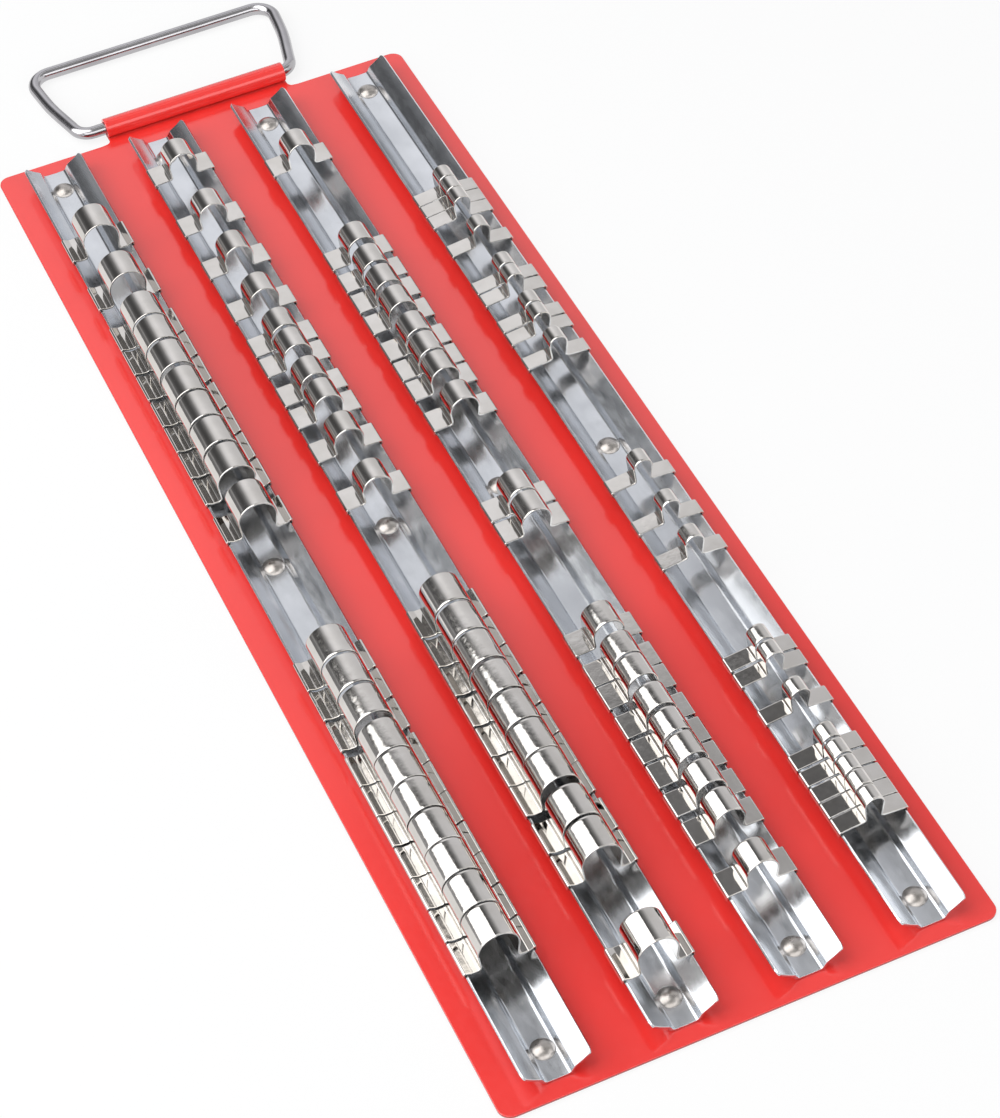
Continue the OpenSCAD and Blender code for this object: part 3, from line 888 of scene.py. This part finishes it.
def bump(nodes, links, shader, value, depth):
    relief = nodes.new("ShaderNodeBump")
    relief.inputs["Strength"].default_value = 1
    relief.inputs["Distance"].default_value = depth
    links.new(value, relief.inputs["Height"])
    links.new(relief.outputs["Normal"], shader.inputs["Normal"])


def painted_edge_shade(nodes, links):
    """A factor that is 1 on the lower part of the plate's upright cut edges, where a painted shade darkens
    the red.
    """
    place = nodes.new("ShaderNodeTexCoord")
    split = nodes.new("ShaderNodeSeparateXYZ")
    links.new(place.outputs["Object"], split.inputs[0])
    surface = nodes.new("ShaderNodeNewGeometry")
    way = nodes.new("ShaderNodeSeparateXYZ")
    links.new(surface.outputs["Normal"], way.inputs[0])
    low = math_node(nodes, links, "LESS_THAN", split.outputs["Z"], 0.001)
    level = math_node(nodes, links, "ABSOLUTE", way.outputs["Z"])
    upright = math_node(nodes, links, "LESS_THAN", level, 0.8)
    return math_node(nodes, links, "MULTIPLY", low, upright)


def red_powder_coat():
    finish, nodes, links, shader = new_finish("red_powder_coat", metallic=0)
    cloud = noise(nodes, links, 9, 3)
    paint = nodes.new("ShaderNodeMix")
    paint.data_type = "RGBA"
    # Painted shade: the lower part of the plate's upright edges is darkened to a deep red
    links.new(painted_edge_shade(nodes, links), paint.inputs["Factor"])
    links.new(tint(nodes, links, cloud, (0.86, 0.034, 0.028), (0.9, 0.044, 0.037)), paint.inputs["A"])
    paint.inputs["B"].default_value = (0.36, 0.015, 0.013, 1)
    links.new(paint.outputs["Result"], shader.inputs["Base Color"])
    links.new(to_range(nodes, links, noise(nodes, links, 400, 4), 0.16, 0.24), shader.inputs["Roughness"])
    bump(nodes, links, shader, noise(nodes, links, 420, 2), 0.00001)
    shader.inputs["Coat Weight"].default_value = 0.9
    shader.inputs["Coat Roughness"].default_value = 0.16
    return finish


def bright_zinc():
    finish, nodes, links, shader = new_finish("bright_zinc", metallic=1)
    patch = noise(nodes, links, 60, 4)
    links.new(
        tint(nodes, links, patch, (0.62, 0.64, 0.67), (0.71, 0.73, 0.76)), shader.inputs["Base Color"]
    )
    grain = noise(nodes, links, 500, 4, (1, 0.3, 1))
    links.new(to_range(nodes, links, grain, 0.17, 0.24), shader.inputs["Roughness"])
    bump(nodes, links, shader, noise(nodes, links, 45, 2), 0.00003)
    return finish


def clip_nickel():
    finish, nodes, links, shader = new_finish("clip_nickel", metallic=1)
    patch = noise(nodes, links, 90, 3)
    links.new(
        tint(nodes, links, patch, (0.64, 0.615, 0.58), (0.71, 0.685, 0.655)), shader.inputs["Base Color"]
    )
    links.new(to_range(nodes, links, noise(nodes, links, 700, 4), 0.05, 0.11), shader.inputs["Roughness"])
    bump(nodes, links, shader, noise(nodes, links, 230, 3), 0.00003)
    return finish


def handle_chrome():
    finish, nodes, links, shader = new_finish("handle_chrome", metallic=1)
    patch = noise(nodes, links, 70, 3)
    links.new(
        tint(nodes, links, patch, (0.42, 0.41, 0.425), (0.5, 0.49, 0.505)), shader.inputs["Base Color"]
    )
    links.new(to_range(nodes, links, noise(nodes, links, 500, 4), 0.12, 0.18), shader.inputs["Roughness"])
    bump(nodes, links, shader, noise(nodes, links, 300, 2), 0.00002)
    return finish


def rivet_nickel():
    finish, nodes, links, shader = new_finish("rivet_nickel", metallic=1)
    patch = noise(nodes, links, 300, 3)
    links.new(
        tint(nodes, links, patch, (0.4, 0.37, 0.345), (0.5, 0.47, 0.445)), shader.inputs["Base Color"]
    )
    links.new(to_range(nodes, links, noise(nodes, links, 900, 4), 0.26, 0.34), shader.inputs["Roughness"])
    bump(nodes, links, shader, noise(nodes, links, 500, 2), 0.00002)
    return finish


bpy.context.scene.view_settings.view_transform = "Standard"
place_camera()
white_room()
white_floor()
light_studio()

make_plate(red_powder_coat())
make_rails(bright_zinc())
make_rivets(rivet_nickel())
make_handle(handle_chrome())
make_clips(clip_nickel())
